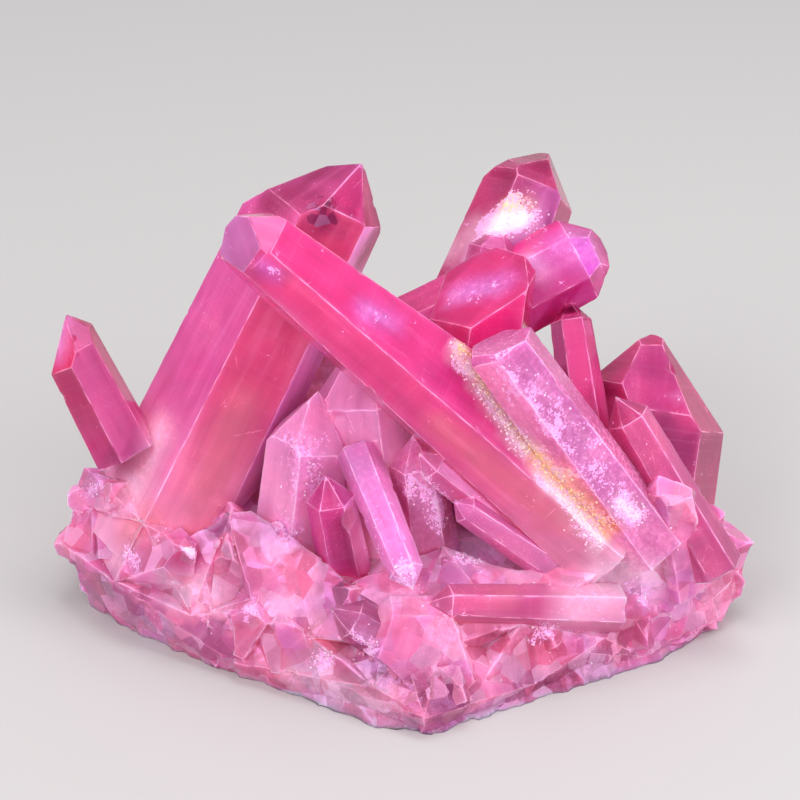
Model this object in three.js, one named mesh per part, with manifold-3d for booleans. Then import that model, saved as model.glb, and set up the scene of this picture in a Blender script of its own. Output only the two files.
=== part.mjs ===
// A palm-sized cluster of aura-coated quartz: long six-sided points grown together out of one broken quartz bed.
// Millimetres, +Z up. -Y is the show side, +X its right. The cluster lies on a flat broken face at z = 0.
import * as THREE from "three";
import { ConvexGeometry } from "three/addons/geometries/ConvexGeometry.js";
import { mergeVertices } from "three/addons/utils/BufferGeometryUtils.js";
import Module from "manifold-3d";

const wasm = await Module();
wasm.setup();

// Driving dimensions
const pyramidTilt = 51.8; // degrees between a pyramid face's normal and the crystal's long axis, as in all quartz
const usualTaper = 1.5; // degrees by which a prism narrows towards its tip
const sameVertex = 1e-3; // corners closer than this are one corner
const smallestDetail = 0.03; // slivers thinner than this, left where crystals cross, are taken out
const showSide = new THREE.Vector3(0, -0.87, 0.5); // face 0 of an unspun crystal looks this way

// The long points. Feet and tips in mm; the rest is explained at crystal().
const longPoints = {
  tall: {
    foot: [-31.5, 4, 7], tip: [-5, 18, 56.5], across: 16, spin: 15, tapers: [1, 2, 3.9, 2, 0, 0.5],
    sides: [1.04, 1.08, 0.85, 0.95, 0.91, 0.83], caps: [-0.9, -0.7, 1.7, 4.7, 3, 1.6],
  },
  crossing: {
    foot: [25.5, -2, 14.5], tip: [-20.5, -3, 55], across: 11, spin: 34, tapers: [0, 2.7, 2, 2, 5.7, 3.7],
    sides: [0.87, 1, 1, 1, 1.04, 1.13], breaks: [[[-0.71, -0.49, 0.51], 2.7]],
  },
  frosted: {
    foot: [29.5, -6, 13], tip: [8.5, -4.5, 44], across: 7.4, spin: 10, tapers: [0, 1, 0, 0, 1, 0],
    breaks: [[[-0.35, 0.2, 0.9], 4.5]],
  },
  rearSpire: {
    foot: [7.5, 11.5, 26], tip: [18, 29, 50], across: 10.5, spin: 10, tapers: [1.5, 1.1, 1.3, 1.5, 5.1, 3.5],
    sides: [1, 1, 1.05, 1, 1.14, 1.08], caps: [0, 0.4, 0.1, 0, 0.3, -0.5], breaks: [[[0, 0.2, 1], 1.7]],
  },
  rearKnob: { foot: [1, 12, 30.5], tip: [26.5, 17.5, 42.5], across: 9.6, breaks: [[[0.8, -0.1, 0.5], 2.6]] },
  redStub: {
    foot: [8, 6, 26.5], tip: [10.5, 8.5, 44.5], across: 11, spin: 20, caps: [-3, -3, -3, -3, -3, -3],
    breaks: [[[-0.4, -0.25, 0.9], 2.5]],
  },
  slimRight: { foot: [22.5, 2, 22], tip: [20, 13, 36.5], across: 4.7 },
  peak: { foot: [8.5, 11.5, 31.5], tip: [12, 17.5, 44.5], across: 5.5, breaks: [[[0.1, 0, 1], 1]] },
  rightBlock: {
    foot: [28.5, 3.5, 8], tip: [32.5, 15.5, 31], across: 15.5, spin: 5, caps: [0, 1, 1, 0, -1, -1.5],
    breaks: [[[0.1, 0, 1], 1]],
  },
  rightSlab: { foot: [37.5, -5.5, 10], tip: [25, 0, 30.5], across: 5.2 },
  leftSpire: { foot: [-32.5, 3.5, 20.5], tip: [-40.5, 8.5, 36], across: 6.6, spin: 20, caps: [0, -1, -1, 0, 0.8, 0.8] },
  frontLilac: { foot: [-5, -4, 25.5], tip: [1.5, -18.5, 16], across: 4 },
  frontMagenta: { foot: [-6, -8.5, 9], tip: [-8.5, -8.5, 25], across: 5.2 },
  sugarFace: { foot: [4.5, -7.5, 5.5], tip: [1.5, -4.5, 28], across: 6 },
  centreLeft: { foot: [-12, -2.5, 9.5], tip: [-9.5, 0.5, 31], across: 10, spin: 20, caps: [0, 0, 0, 0, 0, -0.5] },
  centre: { foot: [-1, -2, 9], tip: [-4.5, 6, 36], across: 13, spin: 35 },
  underUpper: { foot: [25, -6, 6], tip: [2, -7.5, 27.5], across: 4.5, spin: 20 },
  underLower: { foot: [24, -7, 6.5], tip: [6, -10, 22.5], across: 3.6 },
  lying: { foot: [25.5, -10.5, 8], tip: [3, -16, 12.5], across: 4.5 },
  lyingLow: { foot: [9.5, -17, 1], tip: [-8, -15.5, 11.5], across: 5 },
};

// Broken stubs that make up the front of the bed, left to right: [foot, tip, across].
const frontStubs = [
  [[-32, 5.5, 9.5], [-39, 5, 19], 7],
  [[-32.5, 8, 9.5], [-34.5, 2, 19.5], 7],
  [[-33, 7.5, 10.5], [-41.5, 3.5, 14], 4],
  [[-36, 7, 6], [-43, 2, 8.5], 5.5],
  [[-31.5, 9.5, 8], [-38.5, 1, 14.5], 9],
  [[-30, 6.5, 7], [-39, -1.5, 6], 10],
  [[-28.5, 7, 10], [-35, -7, 7.5], 15],
  [[-30, 3, 6], [-36, -4.5, 0.5], 9],
  [[-32, 6, 5], [-41.5, 0.5, 3.5], 7],
  [[-31, -1, 7], [-22, -7, 14], 7],
  [[-27.5, 6.5, 6.5], [-29, -7, 12.5], 9],
  [[-19.5, -3, 8], [-20, -5, 19.5], 7],
  [[-13, -4, 9], [-13.5, -8.5, 19], 7],
  [[-20.5, -0.5, 4], [-25.5, -12, 7], 12],
  [[-16, -6, 4], [-17.5, -13.5, 10.5], 6],
  [[-18.5, -0.5, 4], [-20.5, -15.5, 2], 9],
  [[-23, 1.5, 3.5], [-29, -10, 1.5], 8],
  [[-19.5, -2, 2], [-14, -16, 7.5], 8],
  [[-14.5, -8.5, 2], [-9, -18, 9], 8.5],
  [[-8, -7, 3], [-9.5, -21, 4], 9],
  [[-7.5, -7, 2.5], [-14.5, -18, 0.5], 9],
  [[-6, -7.5, 7], [-5.5, -14.5, 15], 6],
  [[-9.5, -4, 4.5], [-12, -13, 13.5], 9],
  [[0, -10, 4], [-3.5, -24, 5], 10.5],
  [[1.5, -13, 7.5], [3, -27, 2], 11.5],
  [[1, -11, 2], [8.5, -24, 1.5], 10.5],
  [[7.5, -11, 0], [-1, -20.5, 10], 6.5],
  [[1.5, -11.5, 0], [5, -20.5, 10], 8],
  [[16.5, -8, -2], [13.5, -16.5, 11], 10.5],
  [[14, -3, 5], [19, -17, 5], 8],
  [[18.5, -3, -2.5], [25, -14, 6.3], 10.5],
  [[14, -7, 5.5], [16, -20, 1.5], 9],
  [[27.5, -1, -1.5], [28.5, -9.5, 10], 8.5],
  [[23.5, 1, 2], [29.5, -13, 1], 9],
  [[26, 3.5, 0], [35.5, -7.5, 6.5], 9],
  [[27, 2.5, 1], [35, -9.5, 1], 8],
  [[32, 3, 7], [40, 1, 14], 4.5],
  [[32, 3.5, 6], [44, 1, 9.5], 6.5],
  [[33, 3.5, 4.5], [43.5, -1.5, 4.5], 6],
  [[30.5, 1.5, 3.5], [40, -6, 2], 6.5],
  [[30.5, 3.5, 1], [34.5, -4, 14.5], 8],
  [[33.5, -4, 7], [30.5, -5, 24.5], 6],
  [[35, 2, 3], [36, -6.5, 13], 8],
  [[28, 0, 4], [28.5, -10, 15.5], 7.5],
  [[11, -7.5, 5], [8, -14, 15], 8],
  [[15.5, -5.5, 1.5], [19, -11.5, 13.5], 8],
  [[20, 0, 4], [23.5, -10, 13.5], 7],
  [[-3, -4, 6], [-0.5, -15, 14], 7],
];

// The back, which carries shorter points leaning away from the show side: [foot, tip, across].
const backPoints = [
  [[-24, 14, 8], [-31, 23, 20], 8],
  [[-14, 16, 10], [-16, 29, 26], 9],
  [[-2, 16, 12], [-3, 28, 30], 8],
  [[10, 16, 10], [8, 31, 22], 7],
  [[20, 12, 8], [27, 26, 20], 8.5],
  [[30, 8, 6], [39, 18, 13], 7],
  [[-32, 10, 6], [-40, 15, 11], 6],
  [[-20, 14, 4], [-24, 28, 9], 8],
  [[-6, 16, 4], [-9, 31, 11], 9],
  [[6, 16, 3], [14, 30, 8], 9],
  [[22, 12, 3], [29, 24, 8], 9],
  [[-30, 10, 2], [-37, 18, 3], 8],
  [[-24, 12, 1], [-30, 23, 3], 9],
  [[-12, 16, 2], [-17, 29, 3], 9],
  [[0, 16, 1], [1, 31, 3], 10],
  [[14, 14, 1], [19, 27, 2], 9],
  [[28, 8, 1], [36, 18, 3], 9],
  [[32, 4, 3], [42, 9, 5], 7],
  [[-33, 8, 8], [-42, 9.5, 7], 6],
  [[26, 10, 8], [33, 20, 16], 7],
  [[2, 12, 14], [4, 23, 27], 7],
  [[-16, 8, 10], [-22, 17, 25], 7],
  [[18, 6, 8], [19, 16, 24], 7.5],
];

// The mass of quartz the crystals share below, as the corners of a few convex lumps.
const bedLumps = [
  [
    [-37, 5, 0], [-33, -1, 0], [-24, -9, 0], [-13, -16, 0], [-2.5, -23, 0], [3.5, -24, 0], [14, -16.5, 0],
    [24, -11, 0], [31, -10, 0], [36.5, -4.5, 0], [39, 4, 0], [36, 14, 0], [24, 22, 0], [6, 26, 0], [-14, 25, 0],
    [-30, 18, 0], [-37, 11, 0],
    [-33, 3, 6], [-24, -3.5, 6], [-3, -14, 6], [4, -14, 6], [27, -6, 5], [35, 0, 5],
    [-30, 6, 14], [-20, 0, 13], [-7, -5, 14], [6, -5, 14], [18, -3, 11], [31, -1, 10], [33, 9, 10], [20, 16, 14],
    [0, 18, 18], [-20, 16, 17],
  ],
  [
    [-37, 3, 4], [-39, 6, 8], [-36, 2, 10], [-38, 7, 13], [-35, 5, 16], [-31, -3, 11], [-31, 0, 16], [-24, -4, 8],
    [-26, -1, 14], [-30, 12, 17], [-36, 13, 14], [-26, 12, 2], [-38, 12, 6], [-31, 0, 2],
  ],
  [
    [36, -3, 2], [40, 2, 3], [40, 5, 7], [37, 3, 12], [33, -4, 10], [28, -6, 8], [26, 8, 14], [36, 11, 9],
    [38, 10, 3], [26, -3, 2], [26, 10, 2],
  ],
  [[-16, 2, 10], [14, 2, 10], [10, 14, 10], [-12, 14, 10], [-10, 3, 24], [4, 4, 26], [6, 12, 26], [-8, 12, 26]],
];

// The quartz that fills the spaces between neighbouring stubs, up to a little below their tips.
const web = {
  front: { neighbours: 5, belowTip: 2.4 },
  back: { neighbours: 4, belowTip: 4.5 },
  skirt: 5, // tips lower than this have the quartz under them filled down to the resting face
  skirtSetback: 0.95, // share of its distance from the origin at which the skirt stands
};

// Places where the quartz between the front stubs stands as high as a stub would: [foot, top].
const webTops = [
  [[-28, 2, 9], [-31, -5, 17]],
  [[-24, 0, 9], [-26, -7.5, 13]],
  [[-20, -2, 12], [-16.5, -6, 20]],
  [[8, -4, 10], [4, -11, 17.5]],
  [[14, -4, 8], [13, -12, 14.5]],
  [[24, -4, 10], [25, -11, 14.5]],
  [[31, -2, 10], [34, -6.5, 18]],
];

// A half space: everything on the inner side of the plane through point, whose outward direction is normal.
const halfSpace = (normal, point) => new THREE.Plane().setFromNormalAndCoplanarPoint(normal.clone().normalize(), point);

// The corners of the convex solid that half spaces enclose.
function cornersOf(planes) {
  const corners = [];
  for (let i = 0; i < planes.length; i++)
    for (let j = i + 1; j < planes.length; j++)
      for (let k = j + 1; k < planes.length; k++) {
        const corner = meetingPoint(planes[i], planes[j], planes[k]);
        if (corner && planes.every((p) => p.distanceToPoint(corner) < sameVertex)) corners.push(corner);
      }
  return corners;
}

function meetingPoint(a, b, c) {
  const bc = b.normal.clone().cross(c.normal);
  const det = a.normal.dot(bc);
  if (Math.abs(det) < 1e-6) return null;
  const ca = c.normal.clone().cross(a.normal);
  const ab = a.normal.clone().cross(b.normal);
  return bc
    .multiplyScalar(-a.constant)
    .addScaledVector(ca, -b.constant)
    .addScaledVector(ab, -c.constant)
    .divideScalar(det);
}

function solidOf(geometry) {
  const bare = geometry.clone().deleteAttribute("normal").deleteAttribute("uv");
  const merged = mergeVertices(bare, sameVertex);
  return new wasm.Manifold(
    new wasm.Mesh({
      numProp: 3,
      vertProperties: merged.attributes.position.array,
      triVerts: new Uint32Array(merged.index.array),
    }),
  );
}

const hullOf = (corners) => solidOf(new ConvexGeometry(corners));

// One quartz crystal: six prism faces and six pyramid faces.
// across: width over two flats. spin: degrees that face 0 is turned from the show side, towards the right.
// tapers: degrees by which each prism face leans in towards the tip, from face 0 round by the right.
// sides: share of half the width at which each prism face stands.
// caps: how far each pyramid face is cut back below the tip, in mm; below 0 it stands outside it.
// breaks: broken faces, each as [outward direction, how far it lies below the tip].
function crystal({
  foot, tip, across, spin = 0, tapers = Array(6).fill(usualTaper),
  sides = [1, 1, 1, 1, 1, 1], caps = [0, 0, 0, 0, 0, 0], breaks = [],
}) {
  const footPoint = new THREE.Vector3(...foot);
  const tipPoint = new THREE.Vector3(...tip);
  const axis = tipPoint.clone().sub(footPoint).normalize();
  const front = showSide.clone().projectOnPlane(axis).normalize();
  const right = front.clone().cross(axis).negate();
  const tilt = THREE.MathUtils.degToRad(pyramidTilt);
  const planes = [halfSpace(axis.clone().negate(), footPoint)];
  for (let k = 0; k < 6; k++) {
    const turn = THREE.MathUtils.degToRad(60 * k + spin);
    const outward = front.clone().multiplyScalar(Math.cos(turn)).addScaledVector(right, Math.sin(turn));
    const narrowing = THREE.MathUtils.degToRad(tapers[k]);
    const prismNormal = outward.clone().multiplyScalar(Math.cos(narrowing)).addScaledVector(axis, Math.sin(narrowing));
    const middle = footPoint.clone().lerp(tipPoint, 0.5);
    planes.push(halfSpace(prismNormal, middle.addScaledVector(outward, (across / 2) * sides[k])));
    const pyramidNormal = outward.clone().multiplyScalar(Math.sin(tilt)).addScaledVector(axis, Math.cos(tilt));
    planes.push(halfSpace(pyramidNormal, tipPoint.clone().addScaledVector(pyramidNormal, -caps[k])));
  }
  for (const [direction, below] of breaks) {
    const normal = new THREE.Vector3(...direction).normalize();
    planes.push(halfSpace(normal, tipPoint.clone().addScaledVector(normal, -below)));
  }
  return hullOf(cornersOf(planes));
}

// A short crystal whose spin and pyramid differ from its neighbours' by its place in the list.
function stub([foot, tip, across], place) {
  const caps = [0, 1, 2, 3, 4, 5].map((k) => 0.12 * across * ((place * 5 + k * 3) % 4) - 0.1 * across);
  return crystal({ foot, tip, across, spin: (place * 37) % 60, caps });
}

// One convex lump for each stub, shared with the stubs nearest to it. Overlapping lumps make one broken surface.
function webLumps(rows, { neighbours, belowTip }) {
  const pairs = rows.map(([foot, tip]) => {
    const footPoint = new THREE.Vector3(...foot);
    const tipPoint = new THREE.Vector3(...tip);
    const down = footPoint.clone().sub(tipPoint).normalize();
    return { foot: footPoint, top: tipPoint.addScaledVector(down, belowTip) };
  });
  return pairs.map((middle) => {
    const nearest = [...pairs].sort((a, b) => a.top.distanceTo(middle.top) - b.top.distanceTo(middle.top));
    const corners = nearest.slice(0, neighbours).flatMap(({ foot, top }) => {
      if (top.z > web.skirt) return [foot, top];
      return [foot, top, new THREE.Vector3(top.x * web.skirtSetback, top.y * web.skirtSetback, -1)];
    });
    return hullOf(corners);
  });
}

function clusterSolid() {
  const bed = bedLumps.map((corners) => hullOf(corners.map((c) => new THREE.Vector3(...c))));
  bed.push(...webLumps([...frontStubs, ...webTops], web.front), ...webLumps(backPoints, web.back));
  const grown = Object.values(longPoints).map(crystal);
  const stubs = [...frontStubs, ...backPoints].map(stub);
  const whole = wasm.Manifold.union([...bed, ...grown, ...stubs]);
  const aboveCut = solidOf(new THREE.BoxGeometry(200, 200, 100).translate(0, 0, 50));
  return whole.intersect(aboveCut).simplify(smallestDetail);
}

function meshOf(solid, name, material) {
  const { vertProperties, triVerts, numProp } = solid.getMesh();
  const positions = new Float32Array((vertProperties.length / numProp) * 3);
  for (let i = 0; i < positions.length / 3; i++)
    positions.set(vertProperties.subarray(i * numProp, i * numProp + 3), i * 3);
  const geometry = new THREE.BufferGeometry();
  geometry.setAttribute("position", new THREE.BufferAttribute(positions, 3));
  geometry.setIndex(new THREE.BufferAttribute(new Uint32Array(triVerts), 1));
  geometry.computeVertexNormals();
  const mesh = new THREE.Mesh(geometry, material);
  mesh.name = name;
  return mesh;
}

// Moves the cluster sideways so that the origin lies under the middle of its box, on the resting face.
function centred(solid) {
  const { min, max } = solid.boundingBox();
  return solid.translate([-(min[0] + max[0]) / 2, -(min[1] + max[1]) / 2, 0]);
}

const pinkQuartz = new THREE.MeshStandardMaterial({ color: 0xf06fb0, roughness: 0.2, metalness: 0 });
const group = new THREE.Group();
group.add(meshOf(centred(clusterSolid()), "crystal_cluster", pinkQuartz));
export default group;
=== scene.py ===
import itertools
import math
import random
from types import SimpleNamespace

import bmesh
import bpy
import numpy as np
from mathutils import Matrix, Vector, geometry, kdtree, noise


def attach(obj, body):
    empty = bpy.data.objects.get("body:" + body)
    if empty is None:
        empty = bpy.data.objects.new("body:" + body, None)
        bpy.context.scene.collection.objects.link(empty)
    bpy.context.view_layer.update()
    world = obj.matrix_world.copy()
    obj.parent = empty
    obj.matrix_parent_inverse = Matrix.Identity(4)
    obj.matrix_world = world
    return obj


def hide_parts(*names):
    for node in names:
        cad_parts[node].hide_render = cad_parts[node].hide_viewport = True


mm = 0.001
tiny = 1e-12  # keeps a division by a length from failing
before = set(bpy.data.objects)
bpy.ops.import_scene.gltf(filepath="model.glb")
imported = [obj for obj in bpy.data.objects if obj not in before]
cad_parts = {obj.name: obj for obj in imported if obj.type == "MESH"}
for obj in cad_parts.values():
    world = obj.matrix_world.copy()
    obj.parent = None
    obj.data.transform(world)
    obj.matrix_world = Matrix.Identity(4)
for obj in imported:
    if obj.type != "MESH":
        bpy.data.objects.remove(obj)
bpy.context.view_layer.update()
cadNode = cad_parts["crystal_cluster"]
print("frame loaded")


def colour(code):  # "#rrggbb" as a linear colour
    parts = [int(code[k:k + 2], 16) / 255 for k in (1, 3, 5)]
    return np.array([part / 12.92 if part <= 0.04045 else ((part + 0.055) / 1.055) ** 2.4 for part in parts])


def lengths(vectors):
    return np.linalg.norm(vectors, axis=1)


def unit(v):
    v = np.asarray(v, float)
    return v / max(np.linalg.norm(v), tiny)


def mixed(ends, share):  # between two values, a whole column of shares at once
    return ends[0] + (ends[1] - ends[0]) * share


def placed(name, data):  # a new object in the scene
    made = bpy.data.objects.new(name, data)
    bpy.context.scene.collection.objects.link(made)
    return made


layoutToFrame = np.array((-0.0865, -2.77, 0))  # mm, from the part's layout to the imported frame


def crystal(foot, tip, across, tint, milk, frost, faces=()):
    foot, tip = np.array(foot) + layoutToFrame, np.array(tip) + layoutToFrame
    tint = [colour(code) for code in tint]
    faces = [(unit(direction), colour(code), itsMilk) for direction, code, itsMilk in faces]
    return SimpleNamespace(foot=foot, tip=tip, length=np.linalg.norm(tip - foot), axis=unit(tip - foot),
                           half=across / 2, tint=tint, milk=milk, frost=frost, faces=faces)


# Each crystal: foot and tip in mm in the part's own layout, width over two flats, tint of the coating and
# milkiness at foot and tip, frost outside, and the faces that look different: direction, tint, milkiness.
# Some tints carry painted light and shade: paler on crystals and faces that sit in shade, darker on faces
# that show a dark surrounding through them.
crystals = {
    "tall": crystal((-31.5, 4, 7), (-5, 18, 56.5), 16, ("#eea4c8", "#f2489a"), (0.95, 0.28),
        0.06, [((-0.69, -0.5, 0.52), "#e860ae", 0.6), ((0.14, -0.97, 0.22), "#ee5c92", 0.58),
        # the right face is a painted light: paler where it sits in the crossing's shade
        ((0.84, -0.46, -0.28), "#fcacec", 0.88), ((-0.26, -0.24, 0.93), "#e85cae", 0.3),
        ((0.39, -0.61, 0.69), "#ff4ea2", 0.34)]),
    "crossing": crystal((25.5, -2, 14.5), (-20.5, -3, 55), 11, ("#ee9cbe", "#f450a2"), (0.66, 0.38),
        0.08, [((0.56, -0.54, 0.63), "#f0449a", 0.52), ((-0.07, -1, 0), "#f8589e", 0.54),
        # the end face is a painted lilac sheen
        ((-0.71, -0.49, 0.51), "#d884cc", 0.5)]),
    "frosted": crystal((29.5, -6, 13), (8.5, -4.5, 44), 7.4, ("#ec86be", "#ea74bc"), (0.55, 0.45),
        0.45, [((0.56, -0.54, 0.63), "#e098c8", 0.6), ((0.36, -0.89, 0.29), "#c870b0", 0.66),
        ((-0.46, -0.84, -0.27), "#f694c4", 0.72)]),
    "rearSpire": crystal((7.5, 11.5, 26), (18, 29, 50), 10.5, ("#e650a4", "#c01860"), (0.45, 0.3),
        0.1, [((-0.68, -0.36, 0.64), "#c4286c", 0.52), ((0.21, -0.82, 0.54), "#bc54a0", 0.52)]),
    "rearKnob": crystal((1, 12, 30.5), (26.5, 17.5, 42.5), 9.6, ("#ee3c98", "#e034a8"), (0.42, 0.38),
        0.14, [((0.52, -0.57, 0.64), "#e03cd8", 0.54), ((-0.01, -0.87, 0.49), "#cc1c84", 0.5),
        ((-0.39, -0.05, 0.92), "#fa1c90", 0.52)]),
    "redStub": crystal((8, 6, 26.5), (10.5, 8.5, 44.5), 11, ("#ee3c88", "#ea2870"), (0.42, 0.34),
        0.1, [((-0.39, -0.25, 0.89), "#f23c8c", 0.44), ((0.29, -0.95, 0.12), "#ee2484", 0.5)]),
    "slimRight": crystal((22.5, 2, 22), (20, 13, 36.5), 4.7, ("#f04898", "#fa40a0"), (0.35, 0.18),
        0.05, [((-0.87, -0.44, 0.22), "#a43c84", 0.34), ((-0.02, -0.78, 0.62), "#ec4094", 0.46)]),
    "peak": crystal((8.5, 11.5, 31.5), (12, 17.5, 44.5), 5.5, ("#f048a0", "#ea50a8"), (0.35, 0.25), 0.25),
    "rightBlock": crystal((28.5, 3.5, 8), (32.5, 15.5, 31), 15.5, ("#c83478", "#cc3074"), (0.6, 0.5),
        # the front and right faces are painted dark: a painted shade for a dark surrounding seen through
        # them
        0.08, [((0.16, -0.42, 0.9), "#dc4a96", 0.44), ((0.08, -0.88, 0.47), "#900850", 0.85),
        ((0.89, -0.44, 0.09), "#90084c", 0.85)]),
    "rightSlab": crystal((37.5, -5.5, 10), (25, 0, 30.5), 5.2, ("#e46ca4", "#e44c94"), (0.48, 0.3),
        0.12, [((0.1, -0.93, 0.34), "#e068a4", 0.5), ((0.78, -0.24, 0.57), "#ea74b0", 0.5)]),
    "leftSpire": crystal((-32.5, 3.5, 20.5), (-40.5, 8.5, 36), 6.6, ("#dc509c", "#e02c74"), (0.45, 0.32),
        # the left faces are painted darker: a painted shade for a dark surrounding seen through them
        0.06, [((-0.67, -0.51, 0.54), "#ec1868", 0.46), ((-0.52, -0.85, 0.04), "#b41456", 0.42),
        ((0.37, -0.79, 0.48), "#d04890", 0.46)]),
    # painted light: tinted paler where it sits in the crossing's shade
    "frontLilac": crystal((-5, -4, 25.5), (1.5, -18.5, 16), 4, ("#ff84cc", "#f4a4e4"), (0.62, 0.6),
        0.3, [((-0.15, -0.61, 0.78), "#f68cd6", 0.62), ((0.89, -0.42, 0.17), "#ff90d8", 0.8)]),
    "frontMagenta": crystal((-6, -8.5, 9), (-8.5, -8.5, 25), 5.2, ("#f45cac", "#f03ca4"), (0.48, 0.4),
        # the right face is a painted light: pale where it sits in shade
        0.08, [((0.89, -0.42, 0.17), "#ffa0d8", 0.9), ((-0.03, -0.78, 0.62), "#e4509c", 0.5)]),
    "sugarFace": crystal((4.5, -7.5, 5.5), (1.5, -4.5, 28), 6, ("#ec84b4", "#e870b0"), (0.62, 0.52),
        0.36, [((-0.18, -0.96, -0.22), "#dc64a4", 0.6), ((0.47, -0.73, 0.49), "#ff9cd8", 0.66)]),
    # painted light: centreLeft and centre are tinted paler where they sit in shade
    "centreLeft": crystal((-12, -2.5, 9.5), (-9.5, 0.5, 31), 10, ("#faa8d4", "#f89cd8"), (0.8, 0.66),
        0.12, [((0.3, -0.95, 0.12), "#ee8cc8", 0.74)]),
    "centre": crystal((-1, -2, 9), (-4.5, 6, 36), 13, ("#ffa4d0", "#ff94d0"), (0.75, 0.65), 0.12),
    "underUpper": crystal((25, -6, 6), (2, -7.5, 27.5), 4.5, ("#ee84b4", "#ec74b0"), (0.56, 0.5), 0.12),
    "underLower": crystal((24, -7, 6.5), (6, -10, 22.5), 3.6, ("#ea88bc", "#e274b8"), (0.56, 0.48), 0.15),
    "lying": crystal((25.5, -10.5, 8), (3, -16, 12.5), 4.5, ("#ec84b4", "#ec70ac"), (0.6, 0.46),
        0.14, [((0.27, -0.84, 0.47), "#e45c98", 0.56), ((0.25, -0.46, 0.85), "#f498c8", 0.6)]),
    "lyingLow": crystal((9.5, -17, 1), (-8, -15.5, 11.5), 5, ("#da7cac", "#da74ac"), (0.55, 0.42), 0.18),
}
bedLook = {
    "tint": ("#a85484", "#dc7eb4"), "milk": (0.92, 0.84), "frost": 0.14,
    "paleAt": 11,  # mm above the resting face, where the second tint and milkiness are reached
    "footHeight": 1.5,  # mm, below which the bed is milkier
    "footMilk": 0.3,
    "shardCover": 0.5,  # how strongly the tints below cover the bed's own
    "chalkCover": 0.4,
    "tone": (0.35, 0.2),  # of its streaks, and how much a shard's second draw sways it
    "grainAlong": (0.3, -0.5, 0.8),  # direction of the streaks
    "windowAbove": 0.66, "windowTint": "#e46ca8", "windowClears": 0.17,  # shards with a high draw clear up
    "chalkBelow": -0.62, "chalkTint": "#e4b4d8", "chalkFrost": 0.25,  # and those with a low one chalky
    "warmAbove": 0.35, "warmTint": "#e47c9c",  # a second draw makes them warmer
    "coolBelow": -0.55, "coolTint": "#bc6cac",  # or cooler
}

# the facets of the solid, and how finely each is meshed
facetMesh = {
    "edgeStep": 0.5,  # mm between points along an edge
    "rows": ((0.14, 0.16, 1), (0.62, 0.42, 1.3)),  # mm in from an edge, least mm apart, edge steps apart
    "rowClear": 0.92,  # of the way in from its edge, that a row keeps from the others
    "insideStep": 1.5,  # mm between points in the middle of a facet
    "bedStep": 0.9,  # the same on the bed
    "restingStep": 4,  # and on the face that it rests on
    "rowHeight": 0.87,  # of a step, so that the points stand in triangles
    "leastApart": 0.62,  # of a step, from each other and from the border
    "sharpTurn": 12,  # degrees, below which an edge is neither worn nor a fold
    "farFromEdge": 1.6,  # mm, given to points well inside a facet
    "bulge": 2e-5,  # a hair outward along an edge keeps its cells whole
    "weld": 1e-7,  # mm between points that are one
}
facetFit = {  # how triangles are gathered into one facet
    "weld": 1e-6,  # m between points that are one
    "offPlane": 0.003,  # mm that a triangle's corners may be off its plane
    "sameWay": 0.99,  # cosine between their directions, at least
    "sliver": 0.01,  # mm2, below which a triangle has no sure direction
    "onGround": 0.02,  # mm, what lies lower counts as on the resting face
}
crystalFit = {  # how a facet is matched with its crystal
    "reach": (-0.1, 1.05),  # of the crystal's length, where the facet's middle lies
    "fromAxis": 1.35,  # half widths, at most
    "sideLean": 0.15,  # cosine against the axis, at most for a side
    "capLean": 0.3,  # and at least for a face of the cap
    "sideMiss": 0.8, "capMiss": 0.12,  # weights of how far its plane is from where it should lie
    "mostMiss": 0.16,
}


def weldedTriangles(node):
    shape = bmesh.new()
    shape.from_mesh(node.data)
    bmesh.ops.remove_doubles(shape, verts=shape.verts, dist=facetFit["weld"])
    bmesh.ops.triangulate(shape, faces=shape.faces)
    points = np.array([v.co for v in shape.verts], float) / mm
    triangles = [[v.index for v in f.verts] for f in shape.faces]
    shape.free()
    return points, np.array(triangles)


def crossOf(places, cells):  # square to each triangle, as long as twice its area
    a, b, c = (places[cells[:, k]] for k in range(3))
    return np.cross(b - a, c - a)


def facetsOf(points, triangles):  # touching triangles on one plane, the widest first
    first = points[triangles[:, 0]]
    cross = crossOf(points, triangles)
    area = lengths(cross) / 2
    normal = cross / np.maximum(2 * area, tiny)[:, None]
    beside = {}
    for t, triangle in enumerate(triangles):
        for k in range(3):
            beside.setdefault(frozenset((triangle[k], triangle[k - 1])), []).append(t)
    facetOfTriangle = np.full(len(triangles), -1)
    facets = []
    for seed in sorted(range(len(triangles)), key=lambda t: (-round(area[t], 4), *np.round(first[t], 3))):
        if facetOfTriangle[seed] >= 0:
            continue
        facetOfTriangle[seed] = len(facets)
        waiting = [seed]
        while waiting:
            triangle = triangles[waiting.pop()]
            for k in range(3):
                for other in beside[frozenset((triangle[k], triangle[k - 1]))]:
                    if facetOfTriangle[other] >= 0:
                        continue
                    away = np.abs((points[triangles[other]] - first[seed]) @ normal[seed]).max()
                    sameWay = normal[other] @ normal[seed] > facetFit["sameWay"]
                    if away < facetFit["offPlane"] and (sameWay or area[other] < facetFit["sliver"]):
                        facetOfTriangle[other] = len(facets)
                        waiting.append(other)
        facets.append(SimpleNamespace(normal=normal[seed], origin=first[seed]))
    return facets, facetOfTriangle


def crystalOf(middle, normal):  # name of the crystal whose side or cap lies in this plane, or "bed"
    best, found = crystalFit["mostMiss"], "bed"
    low, high = crystalFit["reach"]
    for name, row in crystals.items():
        along = (middle - row.foot) @ row.axis
        if not low * row.length < along < high * row.length:
            continue
        if np.linalg.norm(middle - row.foot - along * row.axis) > crystalFit["fromAxis"] * row.half:
            continue
        lean = normal @ row.axis
        if abs(lean) < crystalFit["sideLean"]:
            miss = abs(normal @ (middle - (row.foot + row.tip) / 2) / row.half - 1) * crystalFit["sideMiss"]
        elif lean > crystalFit["capLean"]:
            miss = abs(normal @ (row.tip - middle)) / row.half * crystalFit["capMiss"]
        else:
            continue
        if miss < best:
            best, found = miss, name
    return found


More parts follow.
